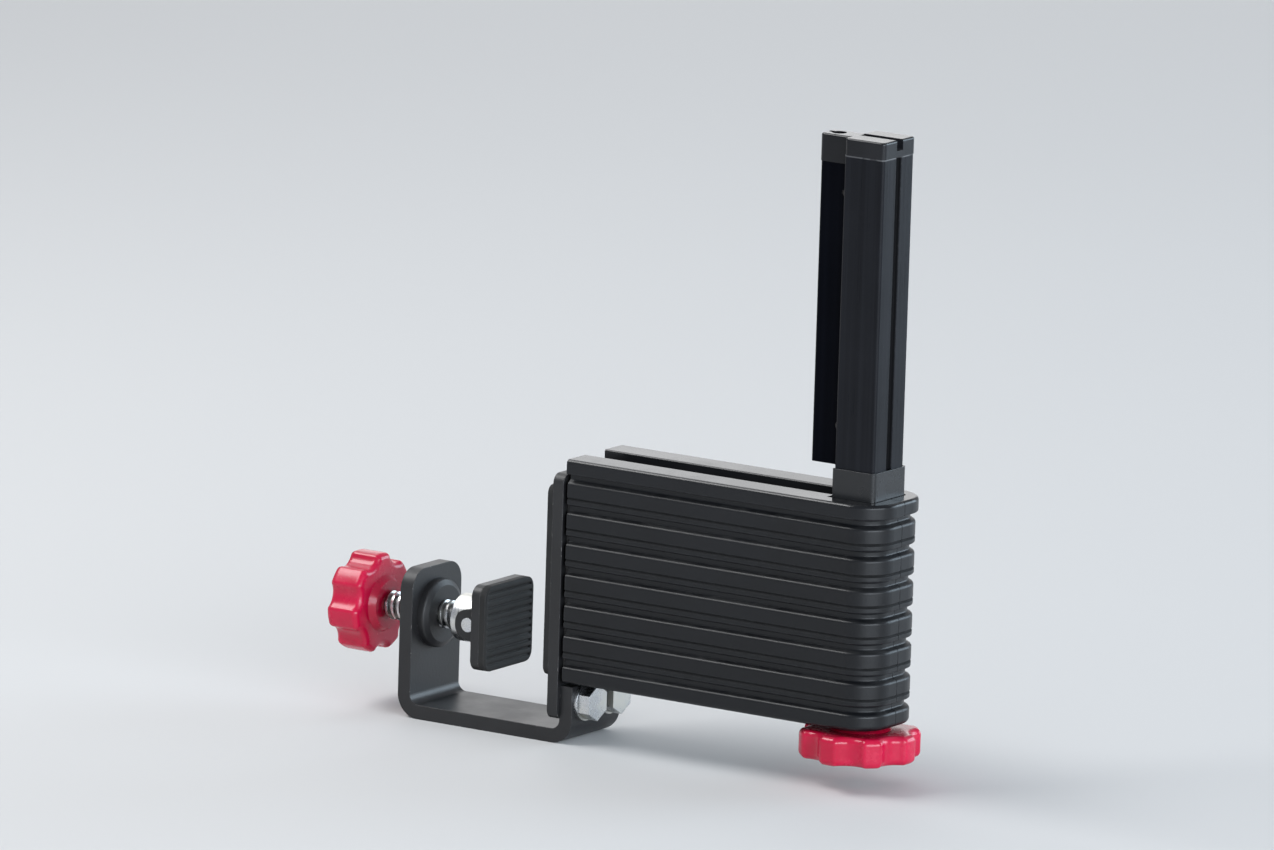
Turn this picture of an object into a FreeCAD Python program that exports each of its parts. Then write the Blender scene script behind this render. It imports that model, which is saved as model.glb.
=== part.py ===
import FreeCAD, Part
import math
import os

# Clamp that carries one upright post on a height screw, with a hooked jaw.
#
# Frame: X points outward from the rubber back pad's face (x = 0), Y runs
# across the clamp, Z is up and z = 0 is the level that the post's height is
# measured from, 16 below the two lands.  All dimensions are in millimetres.

os.makedirs("parts", exist_ok=True)
V = FreeCAD.Vector

# ---------------------------------------------------------------- dimensions
# ribbed housing
TOP = 16.0            # top of the two lands
BOT = -78.0           # underside of the housing
HALF_D = 20.0         # rib crest, half depth
X_IN = 10.0           # inner end of the housing
X_END = 160.0         # rib crest at the nose
R_NOSE = 14.0         # plan radius of the nose corners at the rib crest
LIP = 1.0             # top band stands this much proud of the ribs
RIB_PITCH = 12.9
GROOVE_1 = 8.2        # centre of the first groove
N_GROOVES = 7
GROOVE_W = 3.4
GROOVE_D = 2.2
WALL = 4.4            # rib crest to inner face
LAND_W = 13.0         # width of each land on top, and of the bottom flange
LAND_T = 3.2
FLANGE_T = 2.5
SEAM = 0.15           # half of the seam between the two shells at the nose

# post
POST_X0, POST_X1 = 133.5, 152.5
POST_Y = 11.5         # half width
POST_CX = 0.5 * (POST_X0 + POST_X1)
POST_TOP = 157.0
POST_BOT = -44.0
CAP_TOP = 164.0
HOLLOW_X = 6.5        # half
HOLLOW_Y = 9.0        # half
SLIDE_GAP = 0.1       # flat clearance of the guides
HOLDER_X0 = 118.0
HOLDER_Y = 5.0
HOLDER_BOT = 28.0
HEAD_BOT = 152.0
HEAD_TOP = 163.5
KEDER_R = 3.0
KEDER_X = 123.6
KEDER_MOUTH = 1.2     # half width

# height screw, trapezoidal 8 x 2
LIFT_R = 4.0
LIFT_TOP = -14.0
KNOB_R = 25.0
KNOB_TOP = -79.2
KNOB_BOT = -92.5
KNOB_PIN = 8.0        # height of the cross pin above the knob's underside
LOBES = 8

# steel bracket
PLATE_T = 2.0
SIDE_Y = 15.3         # outer face of the side plates
FLOOR_Z = -72.0
ROOF_Z = 11.0
BACK_X0, BACK_X1 = 3.0, 8.0
BACK_Y = 20.0
BACK_TOP, BACK_BOT = 9.0, -93.8
PAD_TOP, PAD_BOT = 4.0, -76.0

# hook arm, 36 x 6 strap
HOOK_Y = 18.0
HOOK_T = 6.0
HOOK_TOPZ = -98.0     # upper face of the hook's lower run
HOOK_INX = -66.5      # face of the upright that looks at the jaw
HOOK_UP = -42.0
BOLT_Z = -86.6
BOLT_Y = 9.0

# clamp screw, trapezoidal 12 x 3
SCREW_Z = -62.0
SCREW_R = 6.0
JAW_X = -30.0         # face of the jaw at rest
PIN_X = -42.0
CUP_X0, CUP_X1 = -53.5, -38.3
CKNOB_X0, CKNOB_X1 = -108.0, -90.0
CKNOB_R = 21.0

RUN = 0.05            # radial running clearance


# ------------------------------------------------------------------- helpers
def save(name, *solids):
    shape = solids[0] if len(solids) == 1 else Part.makeCompound(list(solids))
    for s in shape.Solids:
        if not s.isValid():
            print("not valid:", name)
    print("%-18s %d solid(s) %10.1f mm3" % (name, len(shape.Solids), shape.Volume))
    shape.exportStep("parts/%s.step" % name)
    return shape


def rounded(points, to3d):
    """Closed wire through 2-D corners (u, v, radius), mapped by to3d(u, v)."""
    n = len(points)
    ends = []
    for i in range(n):
        u, v = points[i][0], points[i][1]
        r = points[i][2] if len(points[i]) > 2 else 0.0
        if r <= 0:
            ends.append(((u, v), None, (u, v)))
            continue
        pu, pv = points[i - 1][0] - u, points[i - 1][1] - v
        nu, nv = points[(i + 1) % n][0] - u, points[(i + 1) % n][1] - v
        lp, ln = math.hypot(pu, pv), math.hypot(nu, nv)
        pu, pv, nu, nv = pu / lp, pv / lp, nu / ln, nv / ln
        half = 0.5 * math.acos(max(-1.0, min(1.0, pu * nu + pv * nv)))
        t = r / math.tan(half)
        bu, bv = pu + nu, pv + nv
        lb = math.hypot(bu, bv)
        m = (r / math.sin(half) - r) / lb
        ends.append(((u + pu * t, v + pv * t), (u + bu * m, v + bv * m),
                     (u + nu * t, v + nv * t)))
    edges = []
    for i in range(n):
        a, mid, b = ends[i]
        if mid is not None:
            edges.append(Part.Arc(to3d(*a), to3d(*mid), to3d(*b)).toShape())
        c = ends[(i + 1) % n][0]
        if math.hypot(c[0] - b[0], c[1] - b[1]) > 1e-7:
            edges.append(Part.LineSegment(to3d(*b), to3d(*c)).toShape())
    return Part.Wire(edges)


def prism_z(points, z0, z1):
    return Part.Face(rounded(points, lambda u, v: V(u, v, z0))).extrude(V(0, 0, z1 - z0))


def prism_y(points, y0, y1):
    """Corners are (x, z, r)."""
    return Part.Face(rounded(points, lambda u, v: V(u, y0, v))).extrude(V(0, y1 - y0, 0))


def prism_x(points, x0, x1):
    """Corners are (y, z, r)."""
    return Part.Face(rounded(points, lambda u, v: V(x0, u, v))).extrude(V(x1 - x0, 0, 0))


def rect(u0, u1, v0, v1, r=0.0):
    return [(u0, v0, r), (u1, v0, r), (u1, v1, r), (u0, v1, r)]


def box(x0, x1, y0, y1, z0, z1):
    return Part.makeBox(x1 - x0, y1 - y0, z1 - z0, V(x0, y0, z0))


def cyl(axis, r, a, b, c0, c1):
    """Cylinder along axis from c0 to c1; a, b are the other two coordinates."""
    if axis == "x":
        return Part.makeCylinder(r, c1 - c0, V(c0, a, b), V(1, 0, 0))
    if axis == "y":
        return Part.makeCylinder(r, c1 - c0, V(a, c0, b), V(0, 1, 0))
    return Part.makeCylinder(r, c1 - c0, V(a, b, c0), V(0, 0, 1))


def cone(axis, r0, r1, a, b, c0, c1):
    if axis == "x":
        return Part.makeCone(r0, r1, c1 - c0, V(c0, a, b), V(1, 0, 0))
    if axis == "y":
        return Part.makeCone(r0, r1, c1 - c0, V(a, c0, b), V(0, 1, 0))
    return Part.makeCone(r0, r1, c1 - c0, V(a, b, c0), V(0, 0, 1))


def lathe_z(points, x, y):
    """Revolve corners (radius, z, r) about the vertical line through x, y."""
    w = rounded(points, lambda u, v: V(x + u, y, v))
    return Part.Face(w).revolve(V(x, y, 0), V(0, 0, 1), 360)


def lathe_x(points, y, z):
    """Revolve corners (x, radius, r) about the line along X through y, z."""
    w = rounded(points, lambda u, v: V(u, y, z + v))
    return Part.Face(w).revolve(V(0, y, z), V(1, 0, 0), 360)


def mirror_y(shape):
    return shape.mirror(V(0, 0, 0), V(0, 1, 0))


def fuse(*shapes):
    out = shapes[0]
    for s in shapes[1:]:
        out = out.fuse(s)
    return out.removeSplitter()


# ------------------------------------------------------------- ribbed shells
def shell_section():
    """Wall section: u is the distance outward from the rib crest, v is z."""
    p = [(-LAND_W, TOP, 0.8), (LIP, TOP, 1.6)]
    for k in range(N_GROOVES):
        zc = GROOVE_1 - k * RIB_PITCH
        zu, zl = zc + GROOVE_W / 2, zc - GROOVE_W / 2
        out = LIP if k == 0 else 0.0
        p += [(out, zu, 0.6), (-GROOVE_D, zu - 0.3, 0.9),
              (-GROOVE_D, zl + 0.7, 0.8), (0.0, zl - 0.6, 1.5)]
        if k < N_GROOVES - 1:
            # fine line near the lower edge of each rib
            zn = zc - 8.7
            p += [(0.0, zn + 0.55, 0.2), (-0.6, zn + 0.1, 0.15), (0.0, zn - 0.55, 0.2)]
    p += [(0.0, BOT, 2.2), (-LAND_W, BOT, 0.5), (-LAND_W, BOT + FLANGE_T),
          (-WALL, BOT + FLANGE_T, 1.2), (-WALL, TOP - LAND_T, 1.2),
          (-LAND_W + 1.8, TOP - LAND_T, 0.3), (-LAND_W + 1.8, ROOF_Z + 0.2), (-LAND_W, ROOF_Z + 0.2)]
    return p


def rib_shell():
    """Shell on the -Y side: straight wall, quarter turn, half of the nose."""
    sec = shell_section()
    xc, yc = X_END - R_NOSE, -(HALF_D - R_NOSE)
    f1 = Part.Face(rounded(sec, lambda u, v: V(X_IN, -(HALF_D + u), v)))
    straight = f1.extrude(V(xc - X_IN, 0, 0))
    f2 = Part.Face(rounded(sec, lambda u, v: V(xc, -(HALF_D + u), v)))
    turn = f2.revolve(V(xc, yc, 0), V(0, 0, 1), 90)
    f3 = Part.Face(rounded(sec, lambda u, v: V(X_END + u, yc, v)))
    nose = f3.extrude(V(0, -SEAM - yc, 0))
    shell = fuse(straight, turn, nose)
    # room for the collar at the foot of the post
    shell = shell.cut(prism_z([(131.6, -13.1, 0), (154.1, -13.1, 2.6),
                               (154.1, 13.1, 2.6), (131.6, 13.1, 0)], 9.0, TOP + 1))
    # round opening under the post for the bush of the height screw
    shell = shell.cut(cyl("z", 9.6, POST_CX, 0, BOT - 1, BOT + FLANGE_T + 0.5))
    for x in COVER_SCREW_X:
        shell = shell.cut(cyl("z", 1.7, x, -9.6, BOT - 1, BOT + FLANGE_T + 0.5))
        shell = shell.cut(cone("z", 3.5, 1.7, x, -9.6, BOT - 0.01, BOT + 1.8))
    return shell


COVER_SCREW_X = (26.0, 108.0)
front = rib_shell()
back = mirror_y(front)
save("rib_cover_front", front)
save("rib_cover_back", back)

# countersunk screws that hold the shells' bottom flanges to the floor plate
screws = []
for x in COVER_SCREW_X:
    for s in (-1, 1):
        sc = fuse(cone("z", 3.4, 1.6, x, s * 9.6, BOT + 0.05, BOT + 1.8),
                  cyl("z", 1.6, x, s * 9.6, BOT + 1.8, FLOOR_Z - 0.2))
        sc = sc.cut(prism_z(rect(x - 2.2, x + 2.2, s * 9.6 - 0.45, s * 9.6 + 0.45), BOT, BOT + 0.8))
        sc = sc.cut(prism_z(rect(x - 0.45, x + 0.45, s * 9.6 - 2.2, s * 9.6 + 2.2), BOT, BOT + 0.8))
        screws.append(sc)
save("cover_screws", *screws)

# ------------------------------------------------------------- steel bracket
PLATE_END = 147.0
RIVETS = ((122.0, -1.5), (127.8, -30.0))


def side_plate(sign):
    y0, y1 = sorted((sign * SIDE_Y, sign * (SIDE_Y - PLATE_T)))
    p = prism_y([(BACK_X1, FLOOR_Z - 3.0), (PLATE_END, FLOOR_Z - 3.0, 3.0),
                 (PLATE_END, ROOF_Z, 3.0), (BACK_X1, ROOF_Z)], y0, y1)
    for x, z in RIVETS:
        p = p.cut(cyl("y", 2.05, x, z, y0 - 1, y1 + 1))
        if sign < 0:
            p = p.cut(cone("y", 3.65, 2.05, x, z, y0 - 0.01, y0 + 1.6))
        else:
            p = p.cut(cone("y", 2.05, 3.65, x, z, y1 - 1.6, y1 + 0.01))
    return p


save("side_plate_front", side_plate(-1))
save("side_plate_back", side_plate(1))

INY = SIDE_Y - PLATE_T - 0.05
GUIDE_X0 = 116.0
save("top_plate", box(BACK_X1, GUIDE_X0 - 0.1, -INY, INY, ROOF_Z - 3.0, ROOF_Z))

floor = prism_z([(BACK_X1, -INY), (150.2, -INY, 2.0), (153.2, -6.0, 3.0),
                 (153.2, 6.0, 3.0), (150.2, INY, 2.0), (BACK_X1, INY)], FLOOR_Z - 3.0, FLOOR_Z)
floor = floor.cut(cyl("z", 7.05, POST_CX, 0, FLOOR_Z - 4, FLOOR_Z + 1))
for x in COVER_SCREW_X:
    for s in (-1, 1):
        floor = floor.cut(cyl("z", 1.65, x, s * 9.6, FLOOR_Z - 4, FLOOR_Z + 1))
save("floor_plate", floor)

back_plate = prism_x(rect(-BACK_Y, BACK_Y, BACK_BOT, BACK_TOP, 4.0), BACK_X0, BACK_X1)
for s in (-1, 1):
    back_plate = back_plate.cut(cyl("x", 4.03, s * BOLT_Y, BOLT_Z, 0, 10))
save("back_plate", back_plate)

save("back_pad", prism_x(rect(-BACK_Y, BACK_Y, PAD_BOT, PAD_TOP, 4.0), 0.0, BACK_X0))

# strap bent into a hook: down from the back plate, inward, up again
ho = HOOK_TOPZ - HOOK_T
hook = prism_y([(BACK_X1, -79.6), (BACK_X1, HOOK_TOPZ, 4.0), (HOOK_INX, HOOK_TOPZ, 4.0),
                (HOOK_INX, HOOK_UP), (HOOK_INX - HOOK_T, HOOK_UP),
                (HOOK_INX - HOOK_T, ho, 10.0), (BACK_X1 + HOOK_T, ho, 10.0),
                (BACK_X1 + HOOK_T, -79.6)], -HOOK_Y, HOOK_Y)
corner = prism_x([(-HOOK_Y, -90.0), (HOOK_Y, -90.0), (HOOK_Y, HOOK_UP, 9.0), (-HOOK_Y, HOOK_UP, 9.0)],
                 HOOK_INX - HOOK_T - 1, HOOK_INX + 1)
block = box(HOOK_INX - HOOK_T - 1, HOOK_INX + 1, -HOOK_Y - 1, HOOK_Y + 1, -80.0, HOOK_UP + 1)
hook = hook.cut(block.cut(corner))
hook = hook.cut(cyl("x", 11.05, 0, SCREW_Z, HOOK_INX - HOOK_T - 1, HOOK_INX + 1))
for s in (-1, 1):
    hook = hook.cut(cyl("x", 4.3, s * BOLT_Y, BOLT_Z, BACK_X1 - 1, BACK_X1 + HOOK_T + 1))
save("hook_arm", hook)

# two M8 bolts tie the hook's leg to the back plate
bolts, washers = [], []
for s in (-1, 1):
    y = s * BOLT_Y
    x0 = BACK_X1 + HOOK_T
    washers.append(cyl("x", 8.0, y, BOLT_Z, x0, x0 + 1.6).cut(cyl("x", 4.2, y, BOLT_Z, x0 - 1, x0 + 3)))
    hexa = [(y + 7.506 * math.cos(math.radians(60 * i + 30)), BOLT_Z + 7.506 * math.sin(math.radians(60 * i + 30)))
            for i in range(6)]
    head = prism_x(hexa, x0 + 1.6, x0 + 6.9)
    head = head.common(cone("x", 12.6, 6.3, y, BOLT_Z, x0 - 3.0 + 1.6 + 3.3, x0 + 8.3)
                       .fuse(cyl("x", 9.0, y, BOLT_Z, x0 + 1.6, x0 + 5.2)))
    bolts.append(fuse(head, cyl("x", 4.0, y, BOLT_Z, BACK_X0 + 0.1, x0 + 1.7)))
save("hook_bolts", *bolts)
save("bolt_washers", *washers)

# threaded boss in the hook's upright
boss = lathe_x([(-77.0, SCREW_R + RUN), (-77.0, 11.0, 1.2), (-72.45, 11.0), (HOOK_INX, 11.0),
                (HOOK_INX, 14.5), (-63.4, 14.5, 1.0), (-62.0, 12.0, 0.3), (-62.0, SCREW_R + RUN)], 0, SCREW_Z)
save("screw_boss", boss)

# ------------------------------------------------------------- post guides
hx0, hx1 = POST_X0 - SLIDE_GAP, POST_X1 + SLIDE_GAP
hy = POST_Y + SLIDE_GAP


def guide_block(x0, z0, z1):
    """Block between the side plates, its outer end shaped to the inside of the nose."""
    gy, r = INY - 0.05, R_NOSE - WALL - 0.2
    xe, ye = X_END - WALL - 0.2, HALF_D - WALL - 0.2
    return prism_z(rect(x0, xe, -gy, gy), z0, z1).common(
        prism_z([(x0 - 9, -ye), (xe, -ye, r), (xe, ye, r), (x0 - 9, ye)], z0 - 1, z1 + 1))


def post_hole(z0, z1):
    return prism_z(rect(hx0, hx1, -hy, hy, 1.3), z0, z1)


upper = guide_block(GUIDE_X0, -8.0, ROOF_Z)
# low collar round three sides of the post, open towards -X
collar = prism_z([(POST_X0 + 0.1, -12.5, 0.3), (153.5, -12.5, 2.2), (153.5, 12.5, 2.2), (POST_X0 + 0.1, 12.5, 0.3)],
                 ROOF_Z - 1, HOLDER_BOT)
upper = fuse(upper, collar)
upper = upper.cut(post_hole(-20.0, ROOF_Z))
upper = upper.cut(prism_z([(hx0 - 1, -hy), (hx1, -hy, 1.3), (hx1, hy, 1.3), (hx0 - 1, hy)], ROOF_Z, 40.0))
for s in (-1, 1):
    x, z = RIVETS[0]
    upper = upper.cut(cyl("y", 2.05, x, z, *sorted((s * 8.0, s * 14.0))))
save("upper_guide", upper)

lower = guide_block(124.0, -38.0, -22.0)
lower = lower.cut(post_hole(-40.0, -20.0))
for s in (-1, 1):
    x, z = RIVETS[1]
    lower = lower.cut(cyl("y", 2.05, x, z, *sorted((s * 8.0, s * 14.0))))
save("lower_guide", lower)

rivets = []
for x, z in RIVETS:
    for s in (-1, 1):
        if s < 0:
            r = fuse(cone("y", 3.6, 2.0, x, z, -SIDE_Y, -SIDE_Y + 1.6), cyl("y", 2.0, x, z, -SIDE_Y + 1.6, -8.1))
        else:
            r = fuse(cone("y", 2.0, 3.6, x, z, SIDE_Y - 1.6, SIDE_Y), cyl("y", 2.0, x, z, 8.1, SIDE_Y - 1.6))
        rivets.append(r)
save("guide_rivets", *rivets)

# flanged bush that the height screw turns in
bush = lathe_z([(LIFT_R + RUN, -78.6), (7.0, -78.6, 0.5), (7.0, FLOOR_Z), (9.0, FLOOR_Z),
                (9.0, FLOOR_Z + 1.0, 0.3), (LIFT_R + RUN, FLOOR_Z + 1.0)], POST_CX, 0)
save("thrust_bush", bush)

# --------------------------------------------------------------------- post
# one groove down the middle of the outer face
ol = [(POST_X0, -POST_Y, 1.4), (POST_X1, -POST_Y, 1.4),
      (POST_X1, -1.9, 0.3), (POST_X1 - 1.3, -1.5, 0.3), (POST_X1 - 1.3, 1.5, 0.3), (POST_X1, 1.9, 0.3),
      (POST_X1, POST_Y, 1.4), (POST_X0, POST_Y, 1.4)]
# dovetail that takes the net holder
ol += [(POST_X0, 3.0), (POST_X0 + 1.9, 4.0), (POST_X0 + 1.9, -4.0), (POST_X0, -3.0)]
post = prism_z(ol, POST_BOT, POST_TOP)
post = post.cut(prism_z(rect(POST_CX - HOLLOW_X, POST_CX + HOLLOW_X, -HOLLOW_Y, HOLLOW_Y, 1.0),
                        POST_BOT - 1, POST_TOP + 1))
save("post_profile", post)

cap = prism_z(rect(POST_X0 + 0.1, POST_X1 + 0.3, -POST_Y - 0.3, POST_Y + 0.3, 1.9), POST_TOP, CAP_TOP)
top_edges = [e for e in cap.Edges if all(abs(vx.Point.z - CAP_TOP) < 1e-6 for vx in e.Vertexes)]
cap = cap.makeFillet(0.9, top_edges)
plug = prism_z(rect(POST_CX - HOLLOW_X + 0.1, POST_CX + HOLLOW_X - 0.1, -HOLLOW_Y + 0.1, HOLLOW_Y - 0.1, 1.0),
               POST_TOP - 13.5, POST_TOP)
plug = plug.cut(prism_z(rect(POST_CX - 4.4, POST_CX + 4.4, -7.0, 7.0, 1.0), POST_TOP - 14.5, POST_TOP - 2.0))
cap = fuse(cap, plug)
cap = cap.cut(box(POST_X0 - 1, POST_X1 + 1, -2.3, 2.3, CAP_TOP - 4.4, CAP_TOP + 1))
cap = cap.cut(cyl("y", 1.3, 147.6, CAP_TOP - 2.5, -8.2, 8.2))
save("post_cap", cap)
save("cord_pin", cyl("y", 1.28, 147.6, CAP_TOP - 2.5, -8.1, 8.1))

hol = [(POST_X0, -HOLDER_Y), (POST_X0, -2.9), (POST_X0 + 1.8, -3.85), (POST_X0 + 1.8, 3.85),
       (POST_X0, 2.9), (POST_X0, HOLDER_Y), (HOLDER_X0, HOLDER_Y, 1.6), (HOLDER_X0, -HOLDER_Y, 1.6)]
holder = prism_z(hol, HOLDER_BOT, HEAD_BOT)
keder = fuse(cyl("z", KEDER_R, KEDER_X, 0, HOLDER_BOT + 2.0, 200.0),
             box(HOLDER_X0 - 1, KEDER_X, -KEDER_MOUTH, KEDER_MOUTH, HOLDER_BOT + 2.0, 200.0))
holder = holder.cut(keder)
for s in (-1, 1):
    for z in (44.0, 140.0):
        holder = holder.cut(cyl("y", 1.55, 130.6, z, *sorted((s * 1.4, s * 6.0))))
save("net_holder", holder)

head = prism_z([(POST_X0, -HOLDER_Y - 0.3), (POST_X0, HOLDER_Y + 0.3), (HOLDER_X0 - 0.3, HOLDER_Y + 0.3, 1.9),
                (HOLDER_X0 - 0.3, -HOLDER_Y - 0.3, 1.9)], HEAD_BOT, HEAD_TOP)
he = [e for e in head.Edges if all(abs(vx.Point.z - HEAD_TOP) < 1e-6 for vx in e.Vertexes)
      and not all(abs(vx.Point.x - POST_X0) < 1e-6 for vx in e.Vertexes)]
head = head.makeFillet(1.0, he)
head = head.cut(keder)
head = fuse(head, prism_z([(POST_X0 - 0.01, -2.9), (POST_X0 + 1.8, -3.85), (POST_X0 + 1.8, 3.85),
                           (POST_X0 - 0.01, 2.9)], HEAD_BOT, POST_TOP))
save("holder_head", head)

grubs = []
for s in (-1, 1):
    for z in (44.0, 140.0):
        g = cyl("y", 1.5, 130.6, z, *sorted((s * 1.5, s * 4.8)))
        hx = [(130.6 + 0.87 * math.cos(math.radians(60 * i)), z + 0.87 * math.sin(math.radians(60 * i)))
              for i in range(6)]
        g = g.cut(prism_y(hx, *sorted((s * 3.4, s * 5.0))))
        grubs.append(g)
save("holder_grub_screws", *grubs)

foot = prism_z(rect(POST_CX - HOLLOW_X + 0.05, POST_CX + HOLLOW_X - 0.05, -HOLLOW_Y + 0.05, HOLLOW_Y - 0.05, 1.0),
               POST_BOT, -30.0)
foot = fuse(foot, prism_z(rect(POST_X0 + 0.2, POST_X1 - 0.2, -POST_Y + 0.2, POST_Y - 0.2, 1.4),
                          POST_BOT - 2.0, POST_BOT))
foot = foot.cut(cyl("z", LIFT_R + 0.6, POST_CX, 0, -60, -20))
NUT_SCREWS = [(POST_CX + i * 4.6, j * 6.0) for i in (-1, 1) for j in (-1, 1)]
for x, y in NUT_SCREWS:
    foot = foot.cut(cyl("z", 1.25, x, y, -50, -36))
save("post_foot", foot)

nut = prism_z(rect(POST_X0 + 0.5, POST_X1 - 0.5, -POST_Y + 0.5, POST_Y - 0.5, 1.4), -52.0, POST_BOT - 2.0)
nut = nut.cut(cyl("z", LIFT_R + RUN, POST_CX, 0, -60, -20))
nscrews = []
for x, y in NUT_SCREWS:
    nut = nut.cut(cyl("z", 1.3, x, y, -60, -20))
    nut = nut.cut(cone("z", 2.3, 1.3, x, y, -52.01, -50.9))
    n = fuse(cone("z", 2.2, 1.2, x, y, -51.95, -50.9),
             cyl("z", 1.2, x, y, -50.9, -36.3))
    nscrews.append(n)
save("lift_nut", nut)
save("nut_screws", *nscrews)


# -------------------------------------------------------------- hand knobs
def lobed(r, n, scallop_r, depth, z0, z1, fil, phase=0.0):
    """Round grip about the Z axis with n scallops and rounded rims."""
    g = Part.makeCylinder(r, z1 - z0, V(0, 0, z0))
    for i in range(n):
        a = math.radians(phase + 360.0 * i / n)
        d = r - depth + scallop_r
        g = g.cut(Part.makeCylinder(scallop_r, z1 - z0 + 2, V(d * math.cos(a), d * math.sin(a), z0 - 1)))
    upright = [e for e in g.Edges if len(e.Vertexes) == 2
               and abs(e.Vertexes[0].Point.x - e.Vertexes[1].Point.x) < 1e-6
               and abs(e.Vertexes[0].Point.y - e.Vertexes[1].Point.y) < 1e-6
               and abs(e.Vertexes[0].Point.z - e.Vertexes[1].Point.z) > 1.0]
    g = g.makeFillet(2.2, upright)
    rim = [e for e in g.Edges
           if abs(e.BoundBox.ZMax - e.BoundBox.ZMin) < 1e-6
           and e.CenterOfMass.sub(V(0, 0, e.CenterOfMass.z)).Length > 8.0]
    g = g.makeFillet(fil, rim)
    return g


GRIP_H = KNOB_TOP - KNOB_BOT - 1.2
grip = lobed(KNOB_R, LOBES, 7.5, 3.4, 0.0, GRIP_H, 2.6, 22.5)
grip = fuse(grip, Part.makeCone(13.0, 11.5, 1.2, V(0, 0, GRIP_H)))
grip = grip.cut(Part.makeCylinder(14.1, 2.0, V(0, 0, -0.01)))
grip = grip.cut(Part.makeCylinder(LIFT_R, 14.0, V(0, 0, 3.0)))
grip = grip.cut(Part.makeCylinder(1.5, 22.0, V(-11, 0, KNOB_PIN), V(1, 0, 0)))
grip.translate(V(POST_CX, 0, KNOB_BOT))
save("height_knob", grip)
kcap = Part.makeCylinder(14.0, 1.85, V(POST_CX, 0, KNOB_BOT + 0.1))
kcap = kcap.cut(Part.makeSphere(30.0, V(POST_CX, 0, KNOB_BOT - 29.5)))
save("height_knob_cap", kcap)
lift = cyl("z", LIFT_R, POST_CX, 0, KNOB_BOT + 3.0, LIFT_TOP)
lift = lift.cut(Part.makeCylinder(20, 1.2, V(POST_CX, 0, LIFT_TOP - 1.2)).cut(
    Part.makeCone(LIFT_R + 0.01, LIFT_R - 1.19, 1.2, V(POST_CX, 0, LIFT_TOP - 1.2))))
lift = lift.cut(cyl("x", 1.5, 0, KNOB_BOT + KNOB_PIN, POST_CX - 12, POST_CX + 12))
save("height_screw", lift)
save("height_knob_pin", cyl("x", 1.48, 0, KNOB_BOT + KNOB_PIN, POST_CX - 10.5, POST_CX + 10.5))
ring = lathe_z([(LIFT_R, FLOOR_Z + 1.1), (7.4, FLOOR_Z + 1.1, 0.4), (7.4, FLOOR_Z + 2.7, 0.4),
                (LIFT_R, FLOOR_Z + 2.7)], POST_CX, 0)
save("screw_collar", ring)

# --------------------------------------------------------------- clamp jaw
cup = lathe_x([(CUP_X0, LIFT_R + RUN), (CUP_X0, 10.0, 1.0), (CUP_X1, 10.0, 1.4), (CUP_X1, 0.0),
               (-46.8, 0.0), (-46.8, LIFT_R + RUN)], 0, SCREW_Z)
for s in (-1, 1):
    cup = cup.cut(box(-49.6, CUP_X1 + 1, *sorted((s * 8.9, s * 12.0)), SCREW_Z - 12, SCREW_Z + 12))
cup = cup.cut(cyl("y", 3.0, PIN_X, SCREW_Z, -12, 12))
cup = cup.cut(cyl("z", 2.0, -50.2, 0, SCREW_Z - 12, SCREW_Z - 3.5))
save("thrust_cup", cup)
save("swivel_pin", cyl("y", 2.98, PIN_X, SCREW_Z, -13.4, 13.4))
setsc = fuse(cyl("z", 1.96, -50.2, 0, SCREW_Z - 9.6, SCREW_Z - 4.3),
             cyl("z", 1.0, -50.2, 0, SCREW_Z - 4.3, SCREW_Z - 3.3))
hx = [(-50.2 + 1.15 * math.cos(math.radians(60 * i)), 1.15 * math.sin(math.radians(60 * i))) for i in range(6)]
setsc = setsc.cut(prism_z(hx, SCREW_Z - 10, SCREW_Z - 7.6))
save("cup_set_screw", setsc)

jaw = prism_x(rect(-18.0, 18.0, SCREW_Z - 18.0, SCREW_Z + 18.0, 5.0), JAW_X - 7.0, JAW_X - 3.0)
for s in (-1, 1):
    y0, y1 = sorted((s * 9.4, s * 12.9))
    ear = prism_y([(JAW_X - 7.0, SCREW_Z - 8.0), (JAW_X - 7.0, SCREW_Z + 8.0), (PIN_X, SCREW_Z + 6.4, 0.5),
                   (PIN_X - 6.4, SCREW_Z + 6.4, 6.0), (PIN_X - 6.4, SCREW_Z - 6.4, 6.0),
                   (PIN_X, SCREW_Z - 6.4, 0.5)], y0, y1)
    jaw = jaw.fuse(ear)
jaw = jaw.removeSplitter()
jaw = jaw.cut(cyl("y", 3.04, PIN_X, SCREW_Z, -14, 14))
save("jaw_plate", jaw)
save("jaw_facing", prism_x(rect(-18.0, 18.0, SCREW_Z - 18.0, SCREW_Z + 18.0, 5.0), JAW_X - 3.0, JAW_X))

# ------------------------------------------------------------- clamp screw
rod = lathe_x([(-47.1, 0.0), (-47.1, LIFT_R, 0.5), (-48.9, LIFT_R), (-48.9, 3.1), (-51.5, 3.1), (-51.5, LIFT_R),
               (-53.7, LIFT_R), (-53.7, SCREW_R, 0.8), (CKNOB_X1, SCREW_R), (CKNOB_X1, LIFT_R),
               (CKNOB_X0 + 3.0, LIFT_R), (CKNOB_X0 + 3.0, 0.0)], 0, SCREW_Z)
rod = rod.cut(cyl("z", 1.5, CKNOB_X1 - 6.0, 0, SCREW_Z - 12, SCREW_Z + 12))
save("clamp_screw", rod)

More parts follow.
